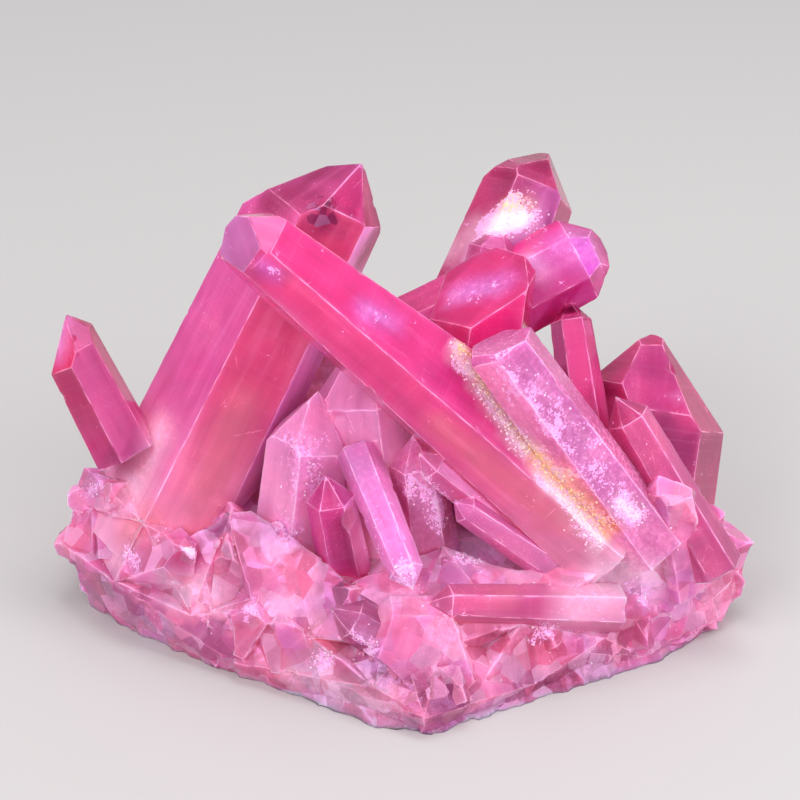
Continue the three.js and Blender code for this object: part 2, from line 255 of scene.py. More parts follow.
def nameFacets(points, triangles, facets, facetOfTriangle):
    cross = crossOf(points, triangles)
    for number, facet in enumerate(facets):
        mine = facetOfTriangle == number
        size = lengths(cross[mine])
        middle = (points[triangles[mine]].mean(1) * size[:, None]).sum(0) / max(size.sum(), tiny)
        facet.crystal = crystalOf(middle, facet.normal)
        facet.onBed = facet.crystal == "bed"
        facet.resting = facet.normal[2] < -facetFit["sameWay"] and facet.origin[2] < facetFit["onGround"]


def insidePolygon(spots, start, end):  # even-odd rule against a facet's border pieces
    inside = np.zeros(len(spots), bool)
    for (x0, y0), (x1, y1) in zip(start, end):
        if y0 == y1:
            continue
        crosses = (spots[:, 1] > min(y0, y1)) & (spots[:, 1] <= max(y0, y1))
        at = x0 + (spots[:, 1] - y0) * (x1 - x0) / (y1 - y0)
        inside ^= crosses & (spots[:, 0] < at)
    return inside


def awayFromBorder(spots, start, end):
    nearest = np.full(len(spots), 1e9)
    for a, b in zip(start, end):
        d = b - a
        t = np.clip((spots - a) @ d / max(d @ d, tiny), 0, 1)
        nearest = np.minimum(nearest, lengths(spots - a - t[:, None] * d))
    return nearest


def turnBetween(facet, other, along):  # degrees between two facets, negative in a fold
    turn = math.degrees(math.acos(max(-1, min(1, facet.normal @ other.normal))))
    return -turn if np.cross(facet.normal, other.normal) @ along < 0 else turn


def splitBorders(points, triangles, facets, facetOfTriangle):  # points along every edge between two facets
    directed = {(row[k], row[(k + 1) % 3]): t for t, row in enumerate(triangles) for k in range(3)}
    out = [tuple(p) for p in points]
    borders, chains, turns = [[] for _ in facets], {}, {}
    for (i, j), t in sorted(directed.items()):
        mine, theirs = facetOfTriangle[t], facetOfTriangle[directed[(j, i)]]
        if mine == theirs:
            continue
        low, high = edge = (min(i, j), max(i, j))
        if edge not in chains:
            gap = points[high] - points[low]
            pieces = max(1, round(np.linalg.norm(gap) / facetMesh["edgeStep"]))
            chains[edge] = [low, *range(len(out), len(out) + pieces - 1), high]
            out += [tuple(points[low] + gap * k / pieces) for k in range(1, pieces)]
            turns[edge] = turnBetween(facets[mine], facets[theirs], points[j] - points[i])
        borders[mine].append((i, j, turns[edge]))
    return out, borders, chains, turns


def outlineOf(flat, border, chains):  # a facet's border pieces, laid flat in its own plane
    names, places, links, start, end = {}, [], [], [], []
    for i, j, _ in border:
        chain = chains[(min(i, j), max(i, j))]
        chain = chain if chain[0] == i else chain[::-1]
        last = len(chain) - 1
        a, b = flat[i], flat[j]
        outward = np.array([(b - a)[1], -(b - a)[0]]) / max(np.linalg.norm(b - a), tiny)
        for k, index in enumerate(chain):
            if index not in names:
                names[index] = len(places)
                places.append(a + (b - a) * k / last + outward * facetMesh["bulge"] * k * (last - k))
        links += [(names[p], names[q]) for p, q in zip(chain, chain[1:])]
        start.append(a)
        end.append(b)
    return names, places, links, np.array(start), np.array(end)


def rowSpots(border, start, end):  # in-plane place, least from the border, least apart, gap from the edge
    clear = facetMesh["rowClear"]
    for gapIn, spread, stretch in facetMesh["rows"]:
        for (_, _, turn), a, b in zip(border, start, end):
            if turn < facetMesh["sharpTurn"]:
                continue
            length = np.linalg.norm(b - a)
            count = int(length / facetMesh["edgeStep"] / stretch)
            inward = np.array([-(b - a)[1], (b - a)[0]]) / max(length, tiny)
            for k in range(count):
                yield a + (b - a) * (k + 0.5) / count + inward * gapIn, gapIn * clear, spread, gapIn


def insideSpots(step, low, high):  # the same for staggered rows over the whole facet
    apart = facetMesh["leastApart"] * step
    y, odd = low[1] + step / 2, 0
    while y < high[1]:
        x = low[0] + step * (0.25 + 0.5 * odd)
        while x < high[0]:
            yield np.array([x, y]), apart, apart, facetMesh["farFromEdge"]
            x += step
        y, odd = y + step * facetMesh["rowHeight"], 1 - odd


def newSpots(facet, border, start, end):  # the wanted spots that lie inside and keep their distance
    step = facetMesh["bedStep"] if facet.onBed else facetMesh["insideStep"]
    step = facetMesh["restingStep"] if facet.resting else step
    wanted = [] if facet.resting else list(rowSpots(border, start, end))
    wanted += insideSpots(step, start.min(0), start.max(0))
    if not wanted:
        return
    spots, clear, spread, gapIn = (np.array(column) for column in zip(*wanted))
    good = insidePolygon(spots, start, end) & (awayFromBorder(spots, start, end) >= clear)
    taken = {}
    for k in np.flatnonzero(good):
        x, y = spots[k]
        column, row = int(x // 1), int(y // 1)
        near = [q for dx in (-1, 0, 1) for dy in (-1, 0, 1) for q in taken.get((column + dx, row + dy), [])]
        if all(math.hypot(q[0] - x, q[1] - y) >= spread[k] for q in near):
            taken.setdefault((column, row), []).append((x, y))
            yield spots[k], gapIn[k]


def cellsBetween(places, links, numbers):  # triangles inside the outline, or none where that goes wrong
    result = geometry.delaunay_2d_cdt([Vector(p) for p in places], links, [], 0, facetMesh["weld"], True)
    spots = np.array([tuple(p) for p in result[0]])
    cells = np.array([face for face in result[2] if len(face) == 3])
    if len(cells) == 0 or not all(result[3]):
        return []
    outline = np.array(places)[np.array(links)]
    made = []
    for cell in cells[insidePolygon(spots[cells].mean(1), outline[:, 0], outline[:, 1])]:
        a, b, c = spots[cell]
        if (b[0] - a[0]) * (c[1] - a[1]) - (b[1] - a[1]) * (c[0] - a[0]) < 0:
            cell = cell[::-1]
        made.append([numbers[result[3][k][0]] for k in cell])
    return made


def fineMesh(points, triangles, facets, facetOfTriangle):
    out, borders, chains, turns = splitBorders(points, triangles, facets, facetOfTriangle)
    gapOf, made, owner, flawed = {}, [], [], 0
    for number, facet in enumerate(facets):
        across = (0.31, 0.87, 0.39) if abs(facet.normal[1]) < 0.9 else (1, 0, 0)  # any way but the normal's
        u = unit(np.cross(facet.normal, across))
        v = np.cross(facet.normal, u)
        flat = np.array([u, v]) @ (points - facet.origin).T
        names, places, links, start, end = outlineOf(flat.T, borders[number], chains)
        for spot, gapIn in newSpots(facet, borders[number], start, end):
            names[len(out)] = len(places)
            gapOf[len(out)] = gapIn
            places.append(spot)
            out.append(tuple(facet.origin + spot[0] * u + spot[1] * v))
        here = cellsBetween(places, links, list(names))
        made += here
        owner += [number] * len(here)
        flawed += not here
    gap = np.full(len(out), facetMesh["farFromEdge"])
    gap[list(gapOf)] = list(gapOf.values())
    fold, outerCorner = np.zeros(len(out)), np.zeros(len(out), bool)
    for edge, turn in turns.items():
        if turn > facetMesh["sharpTurn"]:
            gap[chains[edge]] = 0
            outerCorner[chains[edge]] = True
    for edge, turn in turns.items():  # a point on both kinds of edge counts as in the fold
        if turn < -facetMesh["sharpTurn"]:
            fold[chains[edge]] = 1
            outerCorner[chains[edge]] = False
    print("facets", len(facets), "points", len(out), "triangles", len(made), "flawed", flawed)
    return np.array(out), np.array(made), np.array(owner), gap, fold, outerCorner


points, triangles = weldedTriangles(cadNode)
facets, facetOfTriangle = facetsOf(points, triangles)
nameFacets(points, triangles, facets, facetOfTriangle)
fine, cells, owner, gap, fold, outerCorner = fineMesh(points, triangles, facets, facetOfTriangle)
cornerPoint = cells.reshape(-1)
cornerFacet = np.repeat(owner, 3)
facetOnBed = np.array([facet.onBed for facet in facets])
cornerOnBed = facetOnBed[cornerFacet]
cornerPlace = fine[cornerPoint]


# worn edges, chips and the low relief of the broken bed
wear = {
    "chamferDepth": 0.0728,  # mm taken off where an edge is fully worn
    "chamferLeast": 0.35,  # of that, where it is sharpest
    "chamferPatch": 1.7,  # mm, size of the stretches that are worn alike
    "chamferSwing": 1.1,  # how strongly they differ
    "chipTries": 5200,  # random points, each may start a chip on the edge beside it
    "chipReach": 1.1,  # mm from a random point to the edge it chips
    "chipRadius": (0.45, 1.5),  # mm
    "chipDepth": (0.08, 0.34),  # mm
    "chipSkew": 2.2,  # power of the size's draw, so that most chips are small
    "chipShare": 0.4,  # of the depth, that even the smallest chips draw from
    "deepestChip": 0.45,  # of its radius
    "chipSeed": 7,
    "chipsAbove": 0.8,  # mm, below which they leave the foot alone
    "bedRelief": 0.05,  # mm
    "reliefSize": 0.9,  # mm across its bumps
    "shardSize": 5.2,  # mm, how far apart the broken shards of the bed are
    "shardGrid": ((-10, 11), (-8, 9), (-1, 8)),  # first and end of their columns, rows and layers
    "shardScatter": (0.1, 0.9),  # where a shard's middle may be in its place of the grid
    "shardTilt": 0.10,  # slope of a shard against the bed
    "shardStep": 0.08,  # mm by which one stands above another
    "shardSeed": 23,
    "rimWander": 0.55,  # mm by which the foot of the bed wanders sideways
    "rimWaves": (3.1, 1.1),  # mm, sizes of its wide and small bends
    "rimUpright": 0.4,  # how fast the wide ones change upward, against sideways
    "rimSmall": 0.7,  # how strong the small ones are against the wide
    "rimHeight": 3.5,  # mm above the resting face where that has died out
    "footHeight": 1.6,  # mm below which the wear fades, so that the foot keeps a full edge
    "footLift": 0.02,  # mm, least height of a point that isn't on the resting face
    "unfoldRounds": 12,  # times that folded triangles are eased back
    "unfoldShare": 0.4,  # of the way each time
}


def noiseAt(p, size, seed=0):  # -1 to 1, for a point in mm
    return noise.noise(Vector((p[0] / size + seed, p[1] / size - seed, p[2] / size + 2 * seed)))


def treeOf(places):
    tree = kdtree.KDTree(len(places))
    for k, p in enumerate(places):
        tree.insert(Vector(p), k)
    tree.balance()
    return tree


def pointDirections():  # mean normal of the facets that meet at each point
    total = np.zeros(fine.shape)
    seen = set()
    for cell, number in zip(cells, owner):
        for index in cell:
            if (index, number) not in seen:
                seen.add((index, number))
                total[index] += facets[number].normal
    return total / np.maximum(lengths(total), tiny)[:, None]


def scatterShards():  # place, slope, step and two free draws of each shard of the bed
    dice = random.Random(wear["shardSeed"])
    rows = []
    for spot in itertools.product(*(range(*ends) for ends in wear["shardGrid"])):
        rows.append([(k + dice.uniform(*wear["shardScatter"])) * wear["shardSize"] for k in spot]
                    + [dice.uniform(-1, 1) for _ in range(6)])
    return np.array(rows)


def wearEdges(worn, direction, aboveFoot):
    for index in np.flatnonzero(outerCorner & ~resting):
        share = 0.5 + wear["chamferSwing"] * noiseAt(fine[index], wear["chamferPatch"])
        amount = mixed((wear["chamferLeast"], 1), min(1, max(0, share)))
        worn[index] -= direction[index] * wear["chamferDepth"] * amount * aboveFoot[index]


def breakBed(worn, direction, aboveFoot):
    onBed = np.ones(len(fine), bool)
    onBed[cells[~facetOnBed[owner]]] = False
    for index in np.flatnonzero(onBed & ~resting):
        p = fine[index]
        shard = shards[shardTree.find(Vector(p))[1]]
        relief = wear["bedRelief"] * noiseAt(p, wear["reliefSize"], 9)
        lift = wear["shardTilt"] * shard[3:6] @ (p - shard[:3]) + wear["shardStep"] * shard[6]
        worn[index] += direction[index] * (lift + relief) * aboveFoot[index]
    wide, small = wear["rimWaves"]
    for index in np.flatnonzero(onBed & (fine[:, 2] < wear["rimHeight"])):
        p = fine[index]
        amount = wear["rimWander"] * (1 - p[2] / wear["rimHeight"])
        for axis in (0, 1):
            sway = noiseAt(p * (1, 1, wear["rimUpright"]), wide, 20 + axis)
            worn[index, axis] += amount * (sway + wear["rimSmall"] * noiseAt(p, small, 30 + axis))


def chipEdges(worn, direction):
    edgePoints = np.flatnonzero(outerCorner & ~resting)
    edgeTree, pointTree = treeOf(fine[edgePoints]), treeOf(worn)
    dice = random.Random(wear["chipSeed"])
    low, high = fine.min(0), fine.max(0)
    chips = 0
    for _ in range(wear["chipTries"]):
        p = Vector([dice.uniform(a, b) for a, b in zip(low, high)])
        sizeDraw, depthDraw = dice.random() ** wear["chipSkew"], dice.random()
        _, k, away = edgeTree.find(p)
        if away > wear["chipReach"]:
            continue
        index = edgePoints[k]
        radius = mixed(wear["chipRadius"], sizeDraw)
        depth = mixed(wear["chipDepth"], depthDraw * (wear["chipShare"] + sizeDraw))
        depth = min(wear["deepestChip"] * radius, depth)
        centre = Vector(worn[index]) + Vector(direction[index]) * (radius - depth)
        for _, near, _ in pointTree.find_range(centre, radius):
            gone = Vector(worn[near]) - centre
            if fine[near][2] >= wear["chipsAbove"] and tiny < gone.length < radius:
                worn[near] = centre + gone * (radius / gone.length)
        chips += 1
    print("chips", chips)


def unfold(worn):  # triangles that the wear turned over go back towards their plane
    for _ in range(wear["unfoldRounds"]):
        folded = (crossOf(fine, cells) * crossOf(worn, cells)).sum(1) < 0
        eased = np.unique(cells[folded])
        worn[eased] += (fine[eased] - worn[eased]) * wear["unfoldShare"]


def wornPoints():
    worn, direction = fine.copy(), pointDirections()
    aboveFoot = np.clip(fine[:, 2] / wear["footHeight"], 0, 1) ** 2
    wearEdges(worn, direction, aboveFoot)
    breakBed(worn, direction, aboveFoot)
    chipEdges(worn, direction)
    worn[:, 2] = np.where(resting, 0, np.maximum(worn[:, 2], wear["footLift"]))
    unfold(worn)
    return worn


resting = fine[:, 2] < facetFit["onGround"]
shards = scatterShards()
shardTree = treeOf(shards[:, :3])
worn = wornPoints()


# Places that look different from their crystal: kind, from, to, radius in mm.
# Several kinds are painted light and shade: a painted shade low on the front of the bed, painted highlights,
# glints and sheen, painted light in shaded places, and painted dark windows in the tips.
patches = [
    # the silver and gold stripe: frosted crust with a painted white and gold sheen
    ("silverSheen", (6.2, -6, 38.4), (17, -11.6, 24), 1.3), ("silverSheen", (16, -11.4, 25.5), (23, -13, 17), 1.0),
    ("gold", (7, -5.4, 38.6), (17.5, -10.8, 24.8), 0.9),
    ("gold", (17, -10.6, 25.5), (24, -12.2, 17.8), 1.0),
    ("amberSheen", (18, -11.8, 27), (24.5, -12.6, 18.5), 1.0), ("pearl", (24, -11.5, 14), (29, -9, 12.5), 3.0),
    ("grains", (12, -11.5, 39), (24, -12, 24), 3.2), ("crust", (25.5, -12, 21.5), (27, -12, 20), 1.7),
    ("crust", (19.5, -10.5, 14.5), (22.5, -10.5, 13.5), 1.4),
    # painted glints, highlights and lilac sheen on the tops of the rear crystals, the red stub and the
    # crossing
    ("paintedGlint", (10.2, 15, 43.8), (15, 15.5, 44.8), 2.3),
    ("paintedGoldGlint", (10.4, 15.5, 46.4), (15.5, 16, 46.8), 1.7), ("paintedHighlight", (7, 12, 38), (9, 14.5, 42), 1.3),
    ("paintedHighlight", (15, 9.5, 42), (16.5, 9.5, 40.5), 1.8), ("paintedLilacSheen", (19, 11, 43.5), (22, 11, 43), 3.4),
    ("sugar", (23.5, 12, 44), (24.5, 12.5, 42.5), 1.1), ("paintedHighlight", (6.5, 5, 39.5), (11, 4, 41), 1.4),
    ("paintedLilacSheen", (7, 5, 40.5), (12, 4, 42), 2.4), ("paintedHighlight", (-3.5, -9, 45), (-0.5, -8.5, 43.5), 0.9),
    ("paintedLilacSheen", (-4, -9, 45), (0, -8.5, 43.5), 1.8), ("sugar", (0.5, -21, 18.5), (0.5, -21, 16.5), 1.9),
    # painted light on the front lilac crystal, where it sits in the crossing's shade
    ("paintedLight", (-5.5, -11, 25.5), (-1, -18, 19.5), 2.6), ("sugar", (2, -11.5, 24), (5, -11, 19.5), 2.4),
    ("grains", (-11.5, -7.5, 26.5), (-10.5, -8, 22), 3.0), ("sugar", (-9.5, -21, 5), (-9, -20.5, 6.5), 1.6),
    ("sugar", (16, -18, 7.5), (17.5, -17.5, 8), 1.6), ("sugar", (7, -13, 15), (9, -12.5, 14.5), 1.6),
    ("sugar", (-37.5, 1, 15.5), (-36.5, 0.5, 16.5), 1.4), ("sugar", (-18, -15.5, 9.5), (-17, -15, 8), 1.6),
    ("grains", (-14, -9.5, 17.5), (-13, -9.5, 16), 2.2), ("sugar", (27.5, -11.5, 9.5), (29, -11, 8), 1.7),
    ("sugar", (-4.5, -21.5, 9.5), (-2, -22, 7), 1.5), ("sugar", (-32.5, -7, 11.5), (-30.5, -7.5, 10), 1.3),
    ("window", (-25, -10, 14.5), (-24.5, -10, 13), 2.4),
    # a painted glint on the round window
    ("paintedGlint", (-25, -10, 14.2), (-24.4, -10, 13.4), 0.8), ("window", (-5.5, -14, 13.5), (-5, -14, 12), 1.9),
    ("salmon", (-9.5, -19, 8.5), (-8, -19, 6), 2.6), ("clay", (15.5, -19, 6), (18, -18.5, 5), 2.6),
    ("clay", (24.5, -15, 4.5), (27, -14, 5), 2.4), ("salmon", (-32, -5.5, 13.5), (-30, -6, 15), 3.0),
    ("mauve", (-34.5, -7, 6), (-30, -9, 4), 3.2), ("salmon", (-25, -3.5, 13), (-18.5, -2, 29), 2.6),
    ("pearl", (-31, -1, 16), (-28.5, 1, 23), 3.0), ("berry", (-15, 9, 49.5), (-12.5, 8, 52), 2.6),
    # painted dark windows near the tall crystal's tip
    ("salmon", (4, -11.5, 32), (19, -12.5, 19), 1.8), ("paintedDarkWindow", (-10.5, 6, 51.5), (-8.5, 6, 51), 1.3),
    ("paintedDarkWindow", (-10.5, 5, 49), (-8, 5, 49), 1.3), ("berry", (10.5, 18, 47.5), (14, 18.5, 48.5), 2.0),
    ("mauve", (-15.5, -10.5, 50.5), (-13, -10.5, 50), 1.3),
    ("paintedLilacSheen", (-15, -10.5, 51.5), (-14, -10.5, 50.5), 1.2),
    ("berry", (-7, -13.5, 20), (-6.5, -13, 15), 1.4), ("salmon", (4.5, -19, 10), (12, -17, 12), 1.8),
    ("window", (33, 1.5, 26.5), (34, 1, 24.5), 1.2), ("sugar", (31.5, 4.5, 28.5), (33, 3.5, 27), 0.8),
    ("mauve", (-3, -24, 5), (4, -26, 4), 3.4), ("berry", (-4.5, 8.5, 43), (-1.5, 12, 48), 3.0),
    ("berry", (12.5, 18.5, 48.5), (17, 22, 50), 3.4), ("pearl", (6.5, 16.5, 39.5), (8.5, 17, 42.5), 2.2),
    # painted shade: darker low on the front of the bed
    ("paintedShade", (-6, -24.5, 3.5), (6, -25.5, 4.5), 3.4), ("paintedShade", (8, -22, 1.5), (26, -16, 1.5), 2.4),
    ("pearl", (20, -16.5, 10.5), (24, -14, 10), 3.6), ("clay", (11, -19.5, 8), (16, -18, 6.5), 2.8),
    # painted light on the left spire's tip and in the shaded hollow in the middle of the bed
    ("paintedLight", (-40.5, 5.5, 35.5), (-39.5, 3.5, 32.5), 1.7), ("pearl", (-12, -20, 3), (-2, -24, 3), 2.6),
    ("pearl", (-27, -11, 9), (-22, -12, 9), 2.8), ("paintedLight", (7, -8.5, 13), (14, -9.5, 11.5), 3.6),
    ("pearl", (24, -13, 12), (29, -12, 12), 2.6), ("sugar", (-16, 28, 22), (-15, 27, 18), 1.8),
    ("paintedLilacSheen", (-3, 28, 27), (-2, 26, 22), 2.4), ("salmon", (-24, 20, 12), (-20, 24, 8), 3.4),
    ("sugar", (20, 22, 16), (23, 22, 13), 1.7), ("window", (8, 28, 12), (10, 28, 9), 2.2),
    ("ember", (-15, 14, 30), (-24, 8, 20), 3.4), ("window", (-12, 27, 8), (-9, 28, 6), 2.2),
    ("sugar", (34, 12, 12), (36, 14, 9), 1.8),
]
patchKinds = {  # tint, how strongly it covers, frost, glitter, gold, milk
    "sugar": ("#e4a0d8", 0.50, 0.55, 0.48, 0.05, 0.62),
    "grains": ("#dc90cc", 0.35, 0.60, 0.36, 0.0, 0.60),
    "crust": ("#f6e4f2", 0.40, 0.80, 1.0, 0.0, 0.80),
    # the silver and gold stripe: frosted crust with a painted white and gold sheen
    "silverSheen": ("#fce6f2", 0.85, 0.45, 0.85, 0.20, 0.85),
    "gold": ("#fbcf84", 0.85, 0.40, 0.66, 0.95, 0.85),
    # painted glints, white and gold, on smooth crust
    "paintedGlint": ("#f2c4e0", 0.60, 0.20, 0.90, 0.10, 0.85),
    "paintedGoldGlint": ("#f8cc84", 0.70, 0.30, 0.90, 0.95, 0.85),
    # a painted highlight: a pale lilac reflection
    "paintedHighlight": ("#f2b4ec", 0.80, 0.10, 0.20, 0.0, 0.70),
    # painted light: a bright pink for places that sit in shade
    "paintedLight": ("#ff9ce4", 0.80, 0.40, 0.15, 0.0, 0.65),
    # painted amber sheen at the stripe's lower end, on frosted crust
    "amberSheen": ("#f48c54", 0.85, 0.25, 0.30, 0.80, 0.60),
    # a painted lilac sheen
    "paintedLilacSheen": ("#e07cdc", 0.75, 0.42, 0.15, 0.0, 0.50),
    "ember": ("#f27058", 0.60, 0.05, 0.0, 0.0, 0.50),
    "salmon": ("#f48a9e", 0.66, 0.05, 0.0, 0.0, 0.60),
    "clay": ("#c04868", 0.72, 0.05, 0.0, 0.0, 0.70),
    "mauve": ("#a85090", 0.72, 0.10, 0.0, 0.0, 0.50),
    "berry": ("#a81c60", 0.80, 0.0, 0.0, 0.0, 0.40),
    # painted shade
    "paintedShade": ("#7c2c54", 0.85, 0.05, 0.0, 0.0, 0.75),
    # painted dark windows: the dark of the surroundings seen through a tip
    "paintedDarkWindow": ("#b43474", 0.55, 0.0, 0.0, 0.0, 0.15),
    "window": ("#ea3c88", 0.70, 0.0, 0.0, 0.0, 0.42),
    "pearl": ("#ecc0d8", 0.65, 0.35, 0.10, 0.0, 0.85),
}
darkWindowKinds = ("paintedDarkWindow",)  # show broken faces inside, painted dark: a painted shade for the dark surroundings seen through a tip
smoothKinds = ("paintedGlint", "paintedGoldGlint")  # painted glints: crust that has no loose grains
faceLook = {
    "sameFace": 0.985,  # cosine of the most that a face's direction may be off
    "meltsOver": 0.40,  # of a crystal's length, over which its faces take their own tint
    "footShare": 1.15,  # of the crystal's tint that is left at the foot, before it is held at the most
    "mostLeft": 0.9,
    "jumps": (0.7, 1.7),  # m between the patterns of two facets, and how much more of it along the growth
}
patchEdge = {"spread": 1.3, "core": 1.35}  # radii to where a patch ends, and how early it covers fully


def hashOf(facet):  # 0 to 1, the same for the same plane however it is cut into triangles
    n, d = facet.normal, round(facet.normal @ facet.origin, 2)
    return (math.sin(n[0] * 127.1 + n[1] * 311.7 + n[2] * 74.7 + d * 1.93) * 43758.5453) % 1


def towards(values, goal, share):
    values += (goal - values) * share


def paintCrystals(paint):  # the bed first, then each crystal from its foot to its tip
    height = cornerPlace[:, 2:3]
    up = np.clip(height / bedLook["paleAt"], 0, 1)
    paint.tint = mixed([colour(code) for code in bedLook["tint"]], up)
    nearFoot = np.clip(1 - height / bedLook["footHeight"], 0, 1)
    paint.milk = mixed(bedLook["milk"], up) + nearFoot * bedLook["footMilk"]
    paint.frost = np.full(up.shape, bedLook["frost"])
    paint.along = height.copy()
    names = np.array([facet.crystal for facet in facets])[cornerFacet]
    for name, row in crystals.items():
        mine = names == name
        paint.along[mine] = ((cornerPlace[mine] - row.foot) @ row.axis)[:, None]
        up = np.clip(paint.along[mine] / row.length, 0, 1)
        paint.tint[mine] = mixed(row.tint, up)
        paint.milk[mine] = mixed(row.milk, up)
        paint.frost[mine] = row.frost


def paintFaceTintsAndShade(paint):  # single faces of the crystals, which pale towards the bed; their tints carry painted light and shade
    for number, facet in enumerate(facets):
        if facet.onBed:
            continue
        row = crystals[facet.crystal]
        for direction, tint, milk in row.faces:
            if facet.normal @ direction > faceLook["sameFace"]:
                mine = cornerFacet == number
                risen = paint.along[mine] / (faceLook["meltsOver"] * row.length)
                foot = np.clip(faceLook["footShare"] - risen, 0, faceLook["mostLeft"])
                paint.tint[mine] = mixed((tint, paint.tint[mine]), foot)
                paint.milk[mine] = mixed((milk, paint.milk[mine]), foot)
                break


def paintShards(paint):  # the bed has clear windows, chalky shards and ordinary ones, some warm, some cool
    draws = shards[[shardTree.find(Vector(p))[1] for p in fine]][:, 7:9][cornerPoint]
    onBed = cornerOnBed[:, None]
    window = onBed & (draws[:, :1] > bedLook["windowAbove"])
    chalk = onBed & (draws[:, :1] < bedLook["chalkBelow"])
    warm = onBed & (draws[:, 1:] > bedLook["warmAbove"])
    cool = onBed & (draws[:, 1:] < bedLook["coolBelow"])
    for kind, name, cover in ((window, "windowTint", "shardCover"), (chalk, "chalkTint", "chalkCover"),
                              (warm, "warmTint", "shardCover"), (cool, "coolTint", "shardCover")):
        towards(paint.tint, colour(bedLook[name]), kind * bedLook[cover])
    paint.milk -= window * bedLook["windowClears"]
    paint.frost += chalk * bedLook["chalkFrost"]
    tone, sway = bedLook["tone"]
    paint.tone[cornerOnBed] = tone + sway * draws[cornerOnBed, 1:]


def paintPatches(paint):
    for name in ("glitter", "gold", "broken", "smooth"):
        setattr(paint, name, np.zeros(paint.milk.shape))
    for kind, start, end, radius in patches:
        shade, cover, frost, glitter, gold, milk = patchKinds[kind]
        start, line = np.array(start), np.array(end) - np.array(start)
        t = np.clip((cornerPlace - start) @ line / max(line @ line, tiny), 0, 1)
        away = lengths(cornerPlace - start - t[:, None] * line)[:, None]
        share = np.clip(patchEdge["core"] * (1 - away / (radius * patchEdge["spread"])), 0, 1)
        towards(paint.tint, colour(shade), share * cover)
        towards(paint.milk, milk, share * cover)
        most = {"frost": frost, "glitter": glitter, "gold": gold, "broken": kind in darkWindowKinds,
                "smooth": kind in smoothKinds}
        for name, amount in most.items():
            values = getattr(paint, name)
            np.maximum(values, amount * share, out=values)
    paint.broken[cornerOnBed] = 1


def flatPlaces():  # in m, in each facet's plane: across the growth lines, along them, and a jump per facet
    axisOf = {name: row.axis for name, row in crystals.items()} | {"bed": unit(bedLook["grainAlong"])}
    axis = np.array([axisOf[facet.crystal] for facet in facets])[cornerFacet]
    normal = np.array([facet.normal for facet in facets])[cornerFacet]
    side = np.cross(axis, normal)
    side /= np.maximum(lengths(side), tiny)[:, None]
    up = np.cross(normal, side)
    apart, more = faceLook["jumps"]
    jump = faceDraw[cornerFacet] * apart
    return np.c_[(cornerPlace * mm * side).sum(1) + jump, (cornerPlace * mm * up).sum(1) + jump * more, jump]


def storeCorners(mesh, name, values, kind="FLOAT", field="value"):
    mesh.attributes.new(name, kind, "CORNER").data.foreach_set(field, np.asarray(values, np.float32).ravel())


faceDraw = np.array([hashOf(facet) for facet in facets])
paint = SimpleNamespace(tone=faceDraw[cornerFacet][:, None])
paintCrystals(paint)
paintFaceTintsAndShade(paint)
paintShards(paint)
paintPatches(paint)
mesh = bpy.data.meshes.new("crystalCluster")
mesh.from_pydata([tuple(p * mm) for p in worn], [], cells.tolist())
storeCorners(mesh, "tint", np.c_[paint.tint, np.ones(len(paint.tint))], "FLOAT_COLOR", "color")
paintedNumbers = ("milk", "frost", "glitter", "gold", "along", "broken", "smooth", "tone")
for name in paintedNumbers:
    storeCorners(mesh, name, getattr(paint, name))
for name, values in (("bed", cornerOnBed), ("gap", gap[cornerPoint]), ("fold", fold[cornerPoint])):
    storeCorners(mesh, name, values)
storeCorners(mesh, "flat", flatPlaces(), "FLOAT_VECTOR", "vector")
softness = {"bed": 0.66, "fold": 0.15, "edge": 0.5}  # how far a corner's normal turns to the mean there
sharpCorner = 0.5  # cosine to the mean, below which a corner is as sharp as in a fold


def softNormals():
    cross = crossOf(worn, cells)
    around = np.zeros(worn.shape)
    for k in range(3):
        np.add.at(around, cells[:, k], cross)
    around = (around / np.maximum(lengths(around), tiny)[:, None])[cornerPoint]
    own = np.repeat(cross / np.maximum(lengths(cross), tiny)[:, None], 3, axis=0)
    share = np.where(cornerOnBed, softness["bed"], 0)
    share = np.where((gap[cornerPoint] < 0.01) & ~cornerOnBed, softness["edge"], share)
    sharp = (fold[cornerPoint] > 0) | ((own * around).sum(1) < sharpCorner)
    share = np.where(sharp, softness["fold"], share)
    normals = mixed((own, around), share[:, None])
    return normals / np.maximum(lengths(normals), tiny)[:, None]


mesh.normals_split_custom_set([tuple(n) for n in softNormals()])
cluster = placed("crystalCluster", mesh)


